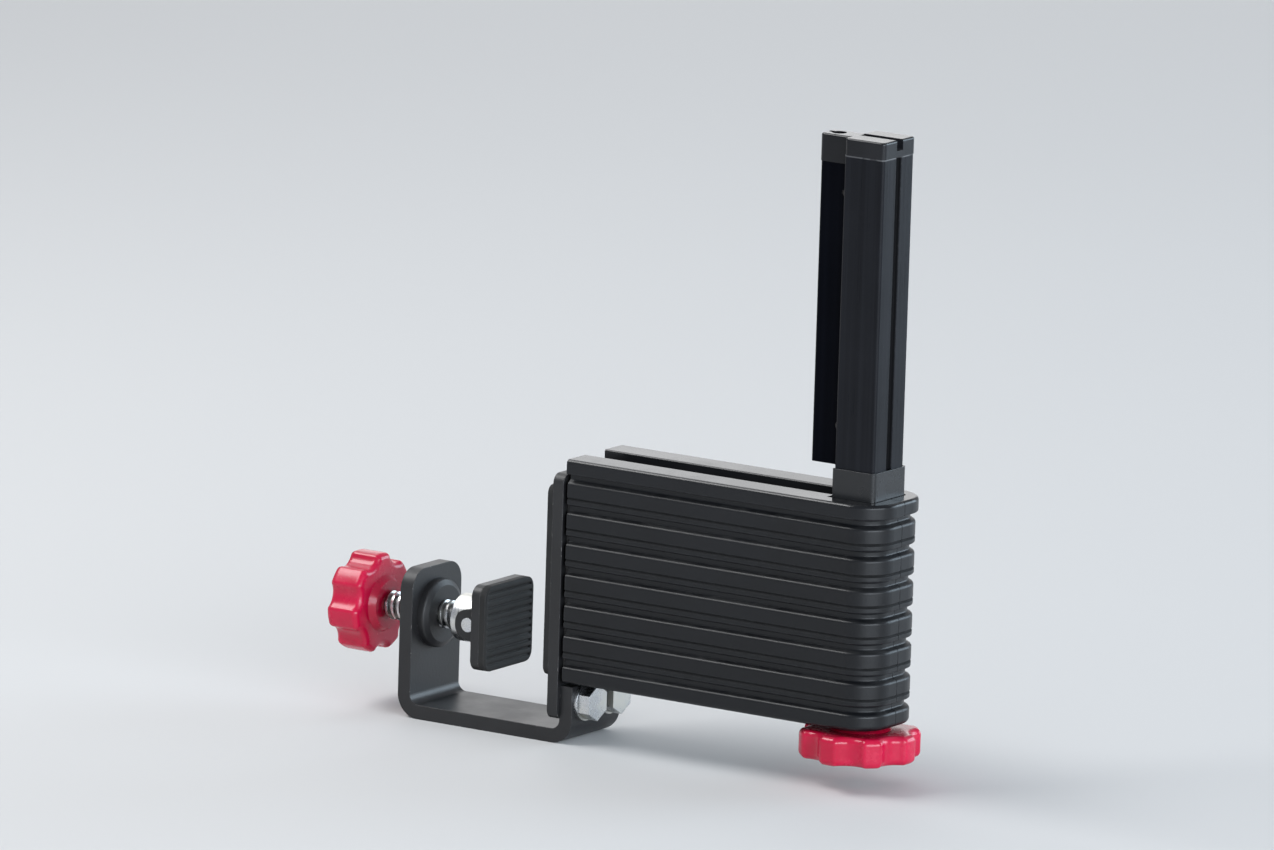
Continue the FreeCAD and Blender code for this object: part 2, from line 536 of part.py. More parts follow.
cg = lobed(CKNOB_R, 7, 6.5, 3.0, 0.0, 15.4, 2.6, 0.0)
cg = fuse(cg, Part.makeCone(12.0, 10.0, 2.6, V(0, 0, 15.4)))
cg = cg.cut(Part.makeCylinder(12.1, 2.0, V(0, 0, -0.01)))
cg = cg.cut(Part.makeCylinder(LIFT_R, 20.0, V(0, 0, 3.0)))
cg = cg.cut(Part.makeCylinder(1.5, 22.0, V(-11, 0, 12.0), V(1, 0, 0)))
cg.rotate(V(0, 0, 0), V(0, 1, 0), 90)
cg.translate(V(CKNOB_X0, 0, SCREW_Z))
save("clamp_knob", cg)
ccap = cyl("x", 12.0, 0, SCREW_Z, CKNOB_X0 + 0.1, CKNOB_X0 + 1.95)
ccap = ccap.cut(Part.makeSphere(26.0, V(CKNOB_X0 - 25.5, 0, SCREW_Z)))
save("clamp_knob_cap", ccap)
save("clamp_knob_pin", cyl("z", 1.48, CKNOB_X1 - 6.0, 0, SCREW_Z - 10.5, SCREW_Z + 10.5))
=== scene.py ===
import math

import bmesh
import bpy
from mathutils import Matrix, Vector


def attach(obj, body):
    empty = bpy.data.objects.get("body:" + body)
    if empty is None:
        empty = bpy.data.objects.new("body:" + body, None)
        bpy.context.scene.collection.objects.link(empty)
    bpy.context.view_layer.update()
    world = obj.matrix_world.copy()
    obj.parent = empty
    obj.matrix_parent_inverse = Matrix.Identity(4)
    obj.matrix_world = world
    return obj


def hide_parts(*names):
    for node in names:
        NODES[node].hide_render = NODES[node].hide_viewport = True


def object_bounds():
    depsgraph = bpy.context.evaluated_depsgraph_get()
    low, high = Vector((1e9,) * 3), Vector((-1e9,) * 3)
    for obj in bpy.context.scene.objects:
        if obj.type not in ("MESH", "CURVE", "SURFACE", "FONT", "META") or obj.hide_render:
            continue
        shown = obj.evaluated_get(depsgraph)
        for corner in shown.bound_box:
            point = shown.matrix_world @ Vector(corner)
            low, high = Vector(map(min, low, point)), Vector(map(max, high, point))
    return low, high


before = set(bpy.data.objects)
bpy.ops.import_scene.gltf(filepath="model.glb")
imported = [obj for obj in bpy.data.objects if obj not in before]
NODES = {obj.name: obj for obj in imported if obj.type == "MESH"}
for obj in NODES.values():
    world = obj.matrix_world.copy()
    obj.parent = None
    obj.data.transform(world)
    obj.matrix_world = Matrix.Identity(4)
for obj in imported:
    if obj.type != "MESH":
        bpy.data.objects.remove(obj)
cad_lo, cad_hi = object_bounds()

MM = 0.001


# ------------------------------------------------------------ node helpers
def node(nt, kind, ins=None, **props):
    n = nt.nodes.new(kind)
    for k, v in props.items():
        setattr(n, k, v)
    for k, v in (ins or {}).items():
        s = n.inputs[k]
        if isinstance(v, bpy.types.NodeSocket):
            nt.links.new(v, s)
        else:
            s.default_value = v
    return n


def math_node(nt, op, a, b=0.0, clamp=False):
    return node(nt, "ShaderNodeMath", {0: a, 1: b}, operation=op, use_clamp=clamp).outputs[0]


def ramp(nt, fac, lo, hi, a=0.0, b=1.0, smooth=True):
    """Maps fac from lo..hi to a..b, clamped."""
    return node(nt, "ShaderNodeMapRange", {"Value": fac, "From Min": lo, "From Max": hi, "To Min": a, "To Max": b},
                interpolation_type="SMOOTHSTEP" if smooth else "LINEAR", clamp=True).outputs[0]


def mix_col(nt, fac, a, b, blend="MIX"):
    n = node(nt, "ShaderNodeMix", data_type="RGBA", blend_type=blend)
    for sock, v in ((n.inputs[0], fac), (n.inputs[6], a), (n.inputs[7], b)):
        if isinstance(v, bpy.types.NodeSocket):
            nt.links.new(v, sock)
        elif isinstance(v, (int, float)):
            sock.default_value = v
        else:
            sock.default_value = tuple(v) + ((1.0,) if len(v) == 3 else ())
    return n.outputs[2]


def mix_val(nt, fac, a, b):
    n = node(nt, "ShaderNodeMix", data_type="FLOAT")
    for sock, v in ((n.inputs[0], fac), (n.inputs[2], a), (n.inputs[3], b)):
        if isinstance(v, bpy.types.NodeSocket):
            nt.links.new(v, sock)
        else:
            sock.default_value = v
    return n.outputs[0]


def noise(nt, vec, scale, detail=3.0, rough=0.55, distort=0.0):
    return node(nt, "ShaderNodeTexNoise", {"Vector": vec, "Scale": scale, "Detail": detail, "Roughness": rough,
                                           "Distortion": distort}).outputs["Fac"]


def stretched(nt, vec, sx, sy, sz):
    return node(nt, "ShaderNodeVectorMath", {0: vec, 1: (sx, sy, sz)}, operation="MULTIPLY").outputs[0]


def new_material(name):
    m = bpy.data.materials.new(name)
    m.use_nodes = True
    nt = m.node_tree
    nt.nodes.clear()
    out = node(nt, "ShaderNodeOutputMaterial")
    bsdf = node(nt, "ShaderNodeBsdfPrincipled")
    nt.links.new(bsdf.outputs[0], out.inputs[0])
    obj = node(nt, "ShaderNodeTexCoord").outputs["Object"]
    return m, nt, bsdf, obj


def edge_mask(nt, radius, lo=0.015, hi=0.12):
    """1 on edges: how far a rounded normal leaves the surface's own."""
    geo = node(nt, "ShaderNodeNewGeometry").outputs["Normal"]
    bev = node(nt, "ShaderNodeBevel", {"Radius": radius}, samples=4).outputs[0]
    dot = node(nt, "ShaderNodeVectorMath", {0: geo, 1: bev}, operation="DOT_PRODUCT").outputs["Value"]
    return ramp(nt, math_node(nt, "SUBTRACT", 1.0, dot), lo, hi)


def bumped(nt, bsdf, layers, bevel=0.0):
    """layers: (height socket, strength, distance in metres), first is lowest."""
    last = node(nt, "ShaderNodeBevel", {"Radius": bevel}, samples=4).outputs[0] if bevel > 0 else None
    for h, strength, dist in layers:
        ins = {"Height": h, "Strength": strength, "Distance": dist}
        if last is not None:
            ins["Normal"] = last
        last = node(nt, "ShaderNodeBump", ins).outputs[0]
    if last is not None:
        nt.links.new(last, bsdf.inputs["Normal"])


def up_dust(nt, obj, amount=0.5, scale=60.0):
    """Thin dust that lies on what faces up, in soft patches."""
    geo = node(nt, "ShaderNodeNewGeometry").outputs["Normal"]
    z = node(nt, "ShaderNodeSeparateXYZ", {0: geo}).outputs["Z"]
    up = ramp(nt, z, 0.55, 0.98)
    patches = ramp(nt, noise(nt, obj, scale, 5.0, 0.65), 0.38, 0.72)
    return math_node(nt, "MULTIPLY", math_node(nt, "MULTIPLY", up, patches), amount)


# --------------------------------------------------------------- materials
def rib_plastic():
    """Charcoal moulded plastic: a fine spark-eroded grain, smoother on the two lands on top."""
    m, nt, b, obj = new_material("charcoal_moulded_plastic")
    z = node(nt, "ShaderNodeSeparateXYZ", {0: obj}).outputs["Z"]
    land = ramp(nt, z, 0.0146, 0.0152)
    # the fine moulded line low on each rib, one every 12.9 mm: dull inside, and its colour darkened a little as painted
    # shade
    turn = math_node(nt, "MULTIPLY", math_node(nt, "ADD", z, 0.00045), 1.0 / 0.0129)
    off = math_node(nt, "ABSOLUTE", math_node(nt, "SUBTRACT", math_node(nt, "FRACT", math_node(nt, "ADD", turn, 20.5)), 0.5))
    line = math_node(nt, "MULTIPLY", ramp(nt, off, 0.062, 0.040), math_node(nt, "MULTIPLY", ramp(nt, z, 0.0030, 0.0024),
                     ramp(nt, z, -0.0715, -0.0705)))
    cloud = noise(nt, obj, 16.0, 4.0, 0.6)
    fine = noise(nt, obj, 2600.0, 2.0, 0.6)
    flow = noise(nt, stretched(nt, obj, 9.0, 60.0, 60.0), 1.0, 3.0, 0.5, 0.6)
    base = mix_col(nt, ramp(nt, cloud, 0.3, 0.7), (0.0044, 0.0049, 0.0062), (0.0070, 0.0078, 0.0098))
    base = mix_col(nt, ramp(nt, flow, 0.45, 0.75, 0.0, 0.35), base, (0.0095, 0.0106, 0.0130))
    wear = math_node(nt, "MULTIPLY", edge_mask(nt, 0.0011), ramp(nt, noise(nt, obj, 240.0, 5.0, 0.7), 0.42, 0.70))
    base = mix_col(nt, math_node(nt, "MULTIPLY", wear, 0.50), base, (0.058, 0.061, 0.067))
    ao = node(nt, "ShaderNodeAmbientOcclusion", {"Distance": 0.004}, samples=4).outputs["AO"]
    grime = math_node(nt, "MULTIPLY", ramp(nt, ao, 0.75, 0.30), ramp(nt, noise(nt, obj, 110.0, 4.0, 0.6), 0.40, 0.75))
    base = mix_col(nt, math_node(nt, "MULTIPLY", grime, 0.22), base, (0.040, 0.037, 0.033))
    base = mix_col(nt, up_dust(nt, obj, 0.10, 75.0), base, (0.26, 0.26, 0.25))
    # painted shade: the fine line's colour is darkened to dim the light its up-facing wall catches
    base = mix_col(nt, math_node(nt, "MULTIPLY", line, 0.7), base, (0.0030, 0.0030, 0.0032))
    nt.links.new(base, b.inputs["Base Color"])
    rough = mix_val(nt, land, 0.37, 0.18)
    rough = math_node(nt, "ADD", rough, math_node(nt, "MULTIPLY", line, 0.42))
    rough = math_node(nt, "ADD", rough, ramp(nt, cloud, 0.3, 0.7, -0.03, 0.05))
    rough = math_node(nt, "ADD", rough, math_node(nt, "MULTIPLY", ramp(nt, noise(nt, obj, 42.0, 6.0, 0.7), 0.5, 0.8), 0.07))
    nt.links.new(rough, b.inputs["Roughness"])
    grain = mix_val(nt, land, fine, math_node(nt, "MULTIPLY", fine, 0.15))
    bumped(nt, b, [(noise(nt, obj, 55.0, 2.0, 0.5), 0.25, 0.00010), (grain, 0.55, 0.000035)], bevel=0.00025)
    b.inputs["Specular IOR Level"].default_value = 0.36
    return m


def gloss_plastic(name, dark, light, rough=0.24, dust=0.10, grain=0.25, spec=0.5, coat=0.0):
    m, nt, b, obj = new_material(name)
    cloud = noise(nt, obj, 38.0, 4.0, 0.6)
    base = mix_col(nt, ramp(nt, cloud, 0.3, 0.7), dark, light)
    wear = math_node(nt, "MULTIPLY", edge_mask(nt, 0.0007), ramp(nt, noise(nt, obj, 420.0, 4.0, 0.65), 0.45, 0.70))
    base = mix_col(nt, math_node(nt, "MULTIPLY", wear, 0.35), base, tuple(min(1.0, 3.0 * c + 0.03) for c in light))
    base = mix_col(nt, up_dust(nt, obj, dust, 140.0), base, (0.33, 0.33, 0.32))
    nt.links.new(base, b.inputs["Base Color"])
    r = math_node(nt, "ADD", ramp(nt, cloud, 0.3, 0.7, rough - 0.03, rough + 0.04),
                  math_node(nt, "MULTIPLY", ramp(nt, noise(nt, obj, 90.0, 6.0, 0.72), 0.52, 0.8), 0.10))
    nt.links.new(r, b.inputs["Roughness"])
    b.inputs["Specular IOR Level"].default_value = spec
    b.inputs["Coat Weight"].default_value = coat
    b.inputs["Coat Roughness"].default_value = 0.10
    bumped(nt, b, [(noise(nt, obj, 90.0, 2.0, 0.5), 0.25, 0.00007), (noise(nt, obj, 3200.0, 2.0, 0.6), grain, 0.00002)],
           bevel=0.0003)
    return m


def knob_plastic():
    """Crimson moulded plastic with polished lobes; a faint deeper red low in the scallops and hollows is painted shade.
    """
    m, nt, b, obj = new_material("crimson_plastic")
    cloud = noise(nt, obj, 60.0, 4.0, 0.6)
    base = mix_col(nt, ramp(nt, cloud, 0.3, 0.7), (0.480, 0.0026, 0.036), (0.580, 0.0046, 0.052))
    swirl = noise(nt, stretched(nt, obj, 150.0, 150.0, 420.0), 1.0, 4.0, 0.6, 1.2)
    base = mix_col(nt, ramp(nt, swirl, 0.5, 0.85, 0.0, 0.25), base, (0.63, 0.012, 0.070))
    # painted shade: the colour darkens to a deeper red in the scallops and hollows
    ao = node(nt, "ShaderNodeAmbientOcclusion", {"Distance": 0.007}, samples=4).outputs["AO"]
    base = mix_col(nt, ramp(nt, ao, 0.92, 0.40, 0.0, 0.70), base, (0.20, 0.0008, 0.009))
    wear = math_node(nt, "MULTIPLY", edge_mask(nt, 0.0022, 0.02, 0.20),
                     ramp(nt, noise(nt, obj, 320.0, 5.0, 0.7), 0.48, 0.72))
    base = mix_col(nt, math_node(nt, "MULTIPLY", wear, 0.32), base, (0.62, 0.050, 0.105))
    base = mix_col(nt, up_dust(nt, obj, 0.05, 150.0), base, (0.46, 0.30, 0.31))
    nt.links.new(base, b.inputs["Base Color"])
    r = math_node(nt, "ADD", ramp(nt, cloud, 0.3, 0.7, 0.19, 0.27),
                  math_node(nt, "MULTIPLY", ramp(nt, noise(nt, obj, 120.0, 6.0, 0.72), 0.5, 0.8), 0.12))
    nt.links.new(r, b.inputs["Roughness"])
    b.inputs["Subsurface Weight"].default_value = 0.06
    b.inputs["Subsurface Radius"].default_value = (0.0020, 0.0004, 0.0005)
    b.inputs["Subsurface Scale"].default_value = 1.0
    bumped(nt, b, [(noise(nt, obj, 160.0, 2.0, 0.5), 0.2, 0.00007), (noise(nt, obj, 3000.0, 2.0, 0.6), 0.35, 0.00002)])
    return m


def anodised(name, dark, light, rough=0.34, axis="Z", metallic=0.35, spec=0.5, groove=None, cut=None):
    """Dyed anodised extrusion: die lines that run the whole length, slightly uneven dye."""
    m, nt, b, obj = new_material(name)
    s = {"Z": (2600.0, 2600.0, 14.0), "X": (14.0, 2600.0, 2600.0)}[axis]
    lines = noise(nt, stretched(nt, obj, *s), 1.0, 3.0, 0.6)
    s2 = {"Z": (420.0, 420.0, 3.0), "X": (3.0, 420.0, 420.0)}[axis]
    bands = noise(nt, stretched(nt, obj, *s2), 1.0, 2.0, 0.5)
    cloud = noise(nt, obj, 22.0, 4.0, 0.6)
    base = mix_col(nt, ramp(nt, bands, 0.3, 0.7), dark, light)
    base = mix_col(nt, ramp(nt, cloud, 0.45, 0.8, 0.0, 0.3), base, tuple(1.5 * c for c in light))
    wear = math_node(nt, "MULTIPLY", edge_mask(nt, 0.0006), ramp(nt, noise(nt, obj, 520.0, 5.0, 0.7), 0.50, 0.68))
    base = mix_col(nt, math_node(nt, "MULTIPLY", wear, 0.6), base, (0.20, 0.20, 0.205))
    scratch = ramp(nt, noise(nt, stretched(nt, obj, 900.0, 900.0, 60.0), 1.0, 4.0, 0.75, 0.5), 0.70, 0.78)
    base = mix_col(nt, math_node(nt, "MULTIPLY", scratch, 0.18), base, (0.12, 0.12, 0.125))
    r = math_node(nt, "ADD", ramp(nt, lines, 0.25, 0.75, rough - 0.07, rough + 0.07), ramp(nt, cloud, 0.3, 0.7, -0.03, 0.04))
    if groove:
        # the groove keeps a matt skin, since nothing rubs it; its colour is darkened as painted shade
        xyz = node(nt, "ShaderNodeSeparateXYZ", {0: obj}).outputs
        inside = math_node(nt, "MULTIPLY", ramp(nt, xyz["X"], groove[0], groove[0] - 0.0002),
                           math_node(nt, "MULTIPLY", ramp(nt, xyz["X"], groove[0] - 0.0025, groove[0] - 0.0022),
                                     ramp(nt, math_node(nt, "ABSOLUTE", xyz["Y"]), groove[1] + 0.0003, groove[1])))
        # painted shade: darker colour inside the groove, where shade falls
        base = mix_col(nt, math_node(nt, "MULTIPLY", inside, 0.8), base, (0.0026, 0.0026, 0.0030))
        r = math_node(nt, "ADD", r, math_node(nt, "MULTIPLY", inside, 0.45))
    if cut:
        # the sawn end was deburred after the dye: a thin, broken pale line under the cap
        z = node(nt, "ShaderNodeSeparateXYZ", {0: obj}).outputs["Z"]
        rim = math_node(nt, "MULTIPLY", ramp(nt, z, cut - 0.00075, cut - 0.00045),
                        ramp(nt, noise(nt, obj, 260.0, 4.0, 0.6), 0.34, 0.52, 0.35, 1.0))
        base = mix_col(nt, math_node(nt, "MULTIPLY", rim, 0.85), base, (0.135, 0.137, 0.142))
    nt.links.new(base, b.inputs["Base Color"])
    nt.links.new(r, b.inputs["Roughness"])
    b.inputs["Metallic"].default_value = metallic
    b.inputs["Specular IOR Level"].default_value = spec
    bumped(nt, b, [(bands, 0.35, 0.00004), (lines, 0.45, 0.000016)], bevel=0.00025)
    return m


def powder_coat(name="black_powder_coat"):
    """Black powder coat with orange peel; bare steel shows where edges are rubbed."""
    m, nt, b, obj = new_material(name)
    cloud = noise(nt, obj, 26.0, 4.0, 0.6)
    peel = noise(nt, obj, 780.0, 2.0, 0.45)
    base = mix_col(nt, ramp(nt, cloud, 0.3, 0.7), (0.0105, 0.0105, 0.0115), (0.0165, 0.0165, 0.0178))
    edge = edge_mask(nt, 0.0009, 0.03, 0.22)
    chip = ramp(nt, noise(nt, obj, 330.0, 6.0, 0.75), 0.56, 0.66)
    bare = math_node(nt, "MULTIPLY", edge, chip)
    rub = math_node(nt, "MULTIPLY", edge, 0.35)
    base = mix_col(nt, rub, base, (0.040, 0.040, 0.042))
    base = mix_col(nt, bare, base, (0.34, 0.33, 0.32))
    base = mix_col(nt, up_dust(nt, obj, 0.10, 90.0), base, (0.27, 0.26, 0.25))
    nt.links.new(base, b.inputs["Base Color"])
    nt.links.new(math_node(nt, "MULTIPLY", bare, 0.9), b.inputs["Metallic"])
    r = mix_val(nt, bare, ramp(nt, cloud, 0.3, 0.7, 0.36, 0.46), 0.42)
    nt.links.new(r, b.inputs["Roughness"])
    bumped(nt, b, [(peel, 0.55, 0.00006), (math_node(nt, "MULTIPLY", bare, -1.0), 0.6, 0.00006)], bevel=0.0005)
    return m


def plated(name="zinc_plate", tint=(0.62, 0.64, 0.67), tint2=(0.70, 0.69, 0.64), rough=0.27, turn=None):
    """Bright zinc plate: slight blue and straw drift, fine scratches, colour darkened in hollows as painted shade.
    turn: axis of lathe lines.
    """
    m, nt, b, obj = new_material(name)
    cloud = noise(nt, obj, 70.0, 4.0, 0.6)
    base = mix_col(nt, ramp(nt, cloud, 0.35, 0.68), tint, tint2)
    stain = ramp(nt, noise(nt, obj, 210.0, 5.0, 0.7), 0.58, 0.80)
    base = mix_col(nt, math_node(nt, "MULTIPLY", stain, 0.35), base, (0.40, 0.39, 0.37))
    # painted shade: the colour darkens in hollows
    ao = node(nt, "ShaderNodeAmbientOcclusion", {"Distance": 0.0025}, samples=4).outputs["AO"]
    base = mix_col(nt, ramp(nt, ao, 0.85, 0.25, 0.0, 0.65), base, (0.09, 0.085, 0.078))
    nt.links.new(base, b.inputs["Base Color"])
    b.inputs["Metallic"].default_value = 1.0
    if turn == "X":
        lines = noise(nt, stretched(nt, obj, 5200.0, 160.0, 160.0), 1.0, 2.0, 0.5)
    elif turn == "Z":
        lines = noise(nt, stretched(nt, obj, 160.0, 160.0, 5200.0), 1.0, 2.0, 0.5)
    else:
        lines = noise(nt, stretched(nt, obj, 2400.0, 900.0, 900.0), 1.0, 3.0, 0.6)
    r = math_node(nt, "ADD", ramp(nt, cloud, 0.3, 0.7, rough - 0.05, rough + 0.06), math_node(nt, "MULTIPLY", stain, 0.15))
    nt.links.new(math_node(nt, "ADD", r, ramp(nt, lines, 0.3, 0.7, -0.03, 0.05)), b.inputs["Roughness"])
    bumped(nt, b, [(lines, 0.5, 0.00001), (noise(nt, obj, 900.0, 3.0, 0.6), 0.2, 0.00002)], bevel=0.0002)
    return m


def black_oxide():
    m, nt, b, obj = new_material("black_oxide")
    cloud = noise(nt, obj, 300.0, 4.0, 0.6)
    base = mix_col(nt, ramp(nt, cloud, 0.3, 0.7), (0.030, 0.030, 0.033), (0.055, 0.052, 0.050))
    wear = math_node(nt, "MULTIPLY", edge_mask(nt, 0.0003), 0.5)
    base = mix_col(nt, wear, base, (0.25, 0.24, 0.23))
    nt.links.new(base, b.inputs["Base Color"])
    b.inputs["Metallic"].default_value = 0.8
    nt.links.new(ramp(nt, cloud, 0.3, 0.7, 0.30, 0.42), b.inputs["Roughness"])
    bumped(nt, b, [(noise(nt, obj, 2000.0, 2.0, 0.5), 0.4, 0.00001)])
    return m


def bronze():
    m, nt, b, obj = new_material("machined_bronze")
    cloud = noise(nt, obj, 120.0, 4.0, 0.6)
    base = mix_col(nt, ramp(nt, cloud, 0.35, 0.7), (0.50, 0.30, 0.12), (0.60, 0.40, 0.18))
    tarnish = ramp(nt, noise(nt, obj, 260.0, 5.0, 0.7), 0.55, 0.8)
    base = mix_col(nt, math_node(nt, "MULTIPLY", tarnish, 0.6), base, (0.20, 0.12, 0.06))
    nt.links.new(base, b.inputs["Base Color"])
    b.inputs["Metallic"].default_value = 1.0
    nt.links.new(ramp(nt, cloud, 0.3, 0.7, 0.24, 0.38), b.inputs["Roughness"])
    bumped(nt, b, [(noise(nt, stretched(nt, obj, 300.0, 300.0, 6000.0), 1.0, 2.0, 0.5), 0.5, 0.000012)], bevel=0.0002)
    return m


def rubber():
    m, nt, b, obj = new_material("black_rubber")
    cloud = noise(nt, obj, 55.0, 4.0, 0.6)
    fine = noise(nt, obj, 1500.0, 3.0, 0.65)
    base = mix_col(nt, ramp(nt, cloud, 0.3, 0.7), (0.0120, 0.0120, 0.0125), (0.0210, 0.0208, 0.0205))
    chalk = math_node(nt, "MULTIPLY", edge_mask(nt, 0.0005), ramp(nt, noise(nt, obj, 210.0, 5.0, 0.7), 0.42, 0.72))
    base = mix_col(nt, math_node(nt, "MULTIPLY", chalk, 0.5), base, (0.095, 0.092, 0.088))
    bloom = ramp(nt, noise(nt, obj, 32.0, 6.0, 0.7), 0.52, 0.80)
    base = mix_col(nt, math_node(nt, "MULTIPLY", bloom, 0.30), base, (0.055, 0.054, 0.054))
    nt.links.new(base, b.inputs["Base Color"])
    nt.links.new(ramp(nt, cloud, 0.3, 0.7, 0.62, 0.78), b.inputs["Roughness"])
    b.inputs["Specular IOR Level"].default_value = 0.35
    bumped(nt, b, [(fine, 0.55, 0.00004)], bevel=0.0002)
    return m


def weld_steel():
    """Weld bead under the same black coat as the plates."""
    m, nt, b, obj = new_material("coated_weld")
    cloud = noise(nt, obj, 140.0, 5.0, 0.65)
    base = mix_col(nt, ramp(nt, cloud, 0.3, 0.7), (0.010, 0.010, 0.011), (0.022, 0.021, 0.021))
    spot = ramp(nt, noise(nt, obj, 700.0, 5.0, 0.7), 0.60, 0.72)
    base = mix_col(nt, math_node(nt, "MULTIPLY", spot, 0.5), base, (0.11, 0.10, 0.095))
    nt.links.new(base, b.inputs["Base Color"])
    nt.links.new(ramp(nt, cloud, 0.3, 0.7, 0.34, 0.50), b.inputs["Roughness"])
    bumped(nt, b, [(noise(nt, obj, 1100.0, 3.0, 0.6), 0.6, 0.00006)])
    return m


MAT = {
    "rib": rib_plastic(),
    "guide": gloss_plastic("guide_gloss_plastic", (0.0105, 0.0115, 0.0130), (0.0165, 0.0180, 0.0205), 0.28, 0.06),
    "cap": gloss_plastic("cap_plastic", (0.0078, 0.0083, 0.0100), (0.0122, 0.0130, 0.0156), 0.20, 0.20, spec=0.08, coat=0.45),
    "head": gloss_plastic("head_plastic", (0.0062, 0.0066, 0.0082), (0.0102, 0.0108, 0.0132), 0.22, 0.20, spec=0.10, coat=0.45),
    "trim": gloss_plastic("black_trim_plastic", (0.0120, 0.0120, 0.0130), (0.0190, 0.0190, 0.0205), 0.38, 0.05),
    "red": knob_plastic(),
    "post": anodised("black_anodised_post", (0.0074, 0.0080, 0.0104), (0.0118, 0.0128, 0.0162), 0.33, metallic=0.0, spec=0.12,
                     groove=(0.15225, 0.0018), cut=0.1570),
    # the holder is black anodised, and its colour is made darker still as painted shade of the net's shadow
    "holder": anodised("black_anodised_holder_with_painted_shade", (0.0008, 0.0012, 0.0030), (0.0020, 0.0026, 0.0052), 0.46, metallic=0.0, spec=0.04),
    "steel_black": powder_coat(),
    "zinc": plated(),
    "zinc_x": plated("zinc_plate_turned", turn="X"),
    "zinc_z": plated("zinc_plate_turned_z", turn="Z"),
    "oxide": black_oxide(),
    "bronze": bronze(),
    "rubber": rubber(),
    "weld": weld_steel(),
}

LOOK = {
    "rib": ["rib_cover_front", "rib_cover_back"],
    "guide": ["upper_guide", "lower_guide"],
    "cap": ["post_cap", "post_foot"],
    "head": ["holder_head"],
    "trim": ["height_knob_cap", "clamp_knob_cap"],
    "red": ["height_knob", "clamp_knob"],
    "post": ["post_profile"],
    "holder": ["net_holder"],
    "steel_black": ["side_plate_front", "side_plate_back", "top_plate", "floor_plate", "back_plate", "hook_arm",
                    "jaw_plate", "screw_boss"],
    "zinc": ["cover_screws", "hook_bolts", "bolt_washers", "guide_rivets", "nut_screws", "screw_collar"],
    "zinc_x": ["thrust_cup", "clamp_screw", "clamp_knob_pin"],
    "zinc_z": ["cord_pin", "height_screw", "height_knob_pin", "swivel_pin"],
    "oxide": ["holder_grub_screws", "cup_set_screw"],
    "bronze": ["thrust_bush", "lift_nut"],
    "rubber": ["back_pad", "jaw_facing"],
}


def dress(o, mat):
    o.data.materials.clear()
    o.data.materials.append(mat)


for key, names in LOOK.items():
    for n in names:
        dress(NODES[n], MAT[key])


# ------------------------------------------------------------ mesh helpers
def make_object(name, verts, faces, mat, smooth_deg=35.0):
    me = bpy.data.meshes.new(name)
    me.from_pydata([Vector(v) for v in verts], [], faces)
    me.validate()
    bm = bmesh.new()
    bm.from_mesh(me)
    bmesh.ops.remove_doubles(bm, verts=bm.verts, dist=1e-7)
    bmesh.ops.recalc_face_normals(bm, faces=bm.faces)
    limit = math.radians(smooth_deg)
    for f in bm.faces:
        f.smooth = True
    for e in bm.edges:
        e.smooth = not (len(e.link_faces) == 2 and e.calc_face_angle(0.0) > limit)
    bm.to_mesh(me)
    bm.free()
    me.update()
    o = bpy.data.objects.new(name, me)
    bpy.context.scene.collection.objects.link(o)
    o.data.materials.append(mat)
    return o


def smoothstep(a, b, x):
    t = min(1.0, max(0.0, (x - a) / (b - a)))
    return t * t * (3 - 2 * t)


# --------------------------------------------------- threaded clamp screw
def threaded_rod():
    """Trapezoidal 12 x 3 thread along X, with the plain spigot that sits in the thrust cup and the plain end that
    sits in the knob."""
    axis_z = -62.0
    x0, x1 = -89.9, -53.7
    pitch, major, minor = 3.0, 5.98, 4.3
    prof = [(0.0, major), (1.0, major), (1.5, minor), (2.5, minor)]
    per = 48
    turns = int((x1 - x0) / pitch) + 3
    start = x0 - pitch
    verts, faces = [], []
    n_rows = per * turns + 1

    def end_fade(x, r):
        """Chamfer at both ends of the thread."""
        lim = minor - 0.2 + min(x - x0, x1 - x) * 1.3
        return max(minor - 0.2, min(r, lim)) if lim < major else r

    for i in range(n_rows):
        phi = 2 * math.pi * i / per
        for s, r in prof:
            x = min(x1, max(x0, start + pitch * i / per + s))
            rr = end_fade(x, r)
            verts.append((x * MM, rr * math.cos(phi) * MM, (axis_z + rr * math.sin(phi)) * MM))
    m = len(prof)
    for i in range(n_rows - 1):
        for j in range(m):
            a, b = i * m + j, (i + 1) * m + j
            if j < m - 1:
                c, d = b + 1, a + 1
            else:
                k = i + per
                if k + 1 >= n_rows:
                    continue
                c, d = (k + 1) * m, k * m
            faces.append((a, b, c, d))
    # plain ends, closed
    ends = [[(x0, minor - 0.2), (x0, 3.98), (-105.0, 3.98), (-105.0, 0.0)],
            [(x1, minor - 0.2), (x1, 3.98), (-51.5, 3.98), (-51.3, 3.1), (-49.1, 3.1), (-48.9, 3.98), (-47.5, 3.98),
             (-47.1, 3.5), (-47.1, 0.0)]]
    for prof2 in ends:
        rows = []
        for x, r in prof2:
            base = len(verts)
            for i in range(per):
                phi = 2 * math.pi * i / per
                verts.append((x * MM, r * math.cos(phi) * MM, (axis_z + r * math.sin(phi)) * MM))
            rows.append(base)
        for a, b in zip(rows, rows[1:]):
            for i in range(per):
                j = (i + 1) % per
                faces.append((a + i, a + j, b + j, b + i))
    o = make_object("clamp_screw_thread", verts, faces, MAT["zinc_x"], 25.0)
    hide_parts("clamp_screw")
    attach(o, "clamp_screw")
    return o


threaded_rod()


